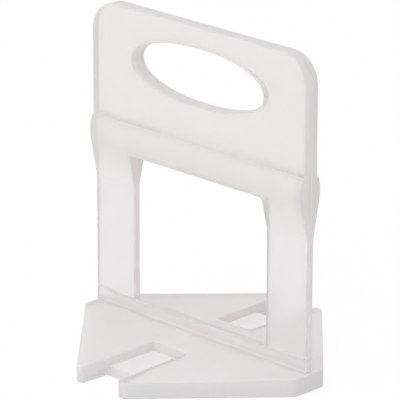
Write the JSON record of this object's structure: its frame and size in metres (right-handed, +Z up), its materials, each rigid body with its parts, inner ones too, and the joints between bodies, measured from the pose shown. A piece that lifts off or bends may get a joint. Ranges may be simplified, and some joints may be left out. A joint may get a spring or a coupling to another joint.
{
  "type": "tile levelling clip",
  "caption": "Moulded tile levelling clip: lozenge base, thin snap-off legs around a wedge window, thick collar and a grip plate with an oval hole.",
  "frame": {"origin": "centre of the base's flat underside, under the middle of the upright", "axes": "+X along the width of the upright, +Y through its thickness, +Z up from the underside to the grip"},
  "size_m": [0.0508, 0.0484, 0.0585],
  "materials": {
    "natural_plastic": "satin, slightly translucent, uncoloured polypropylene"
  },
  "bodies": {
    "root": {"levelling_clip": "natural_plastic"}
  },
  "joints": []
}
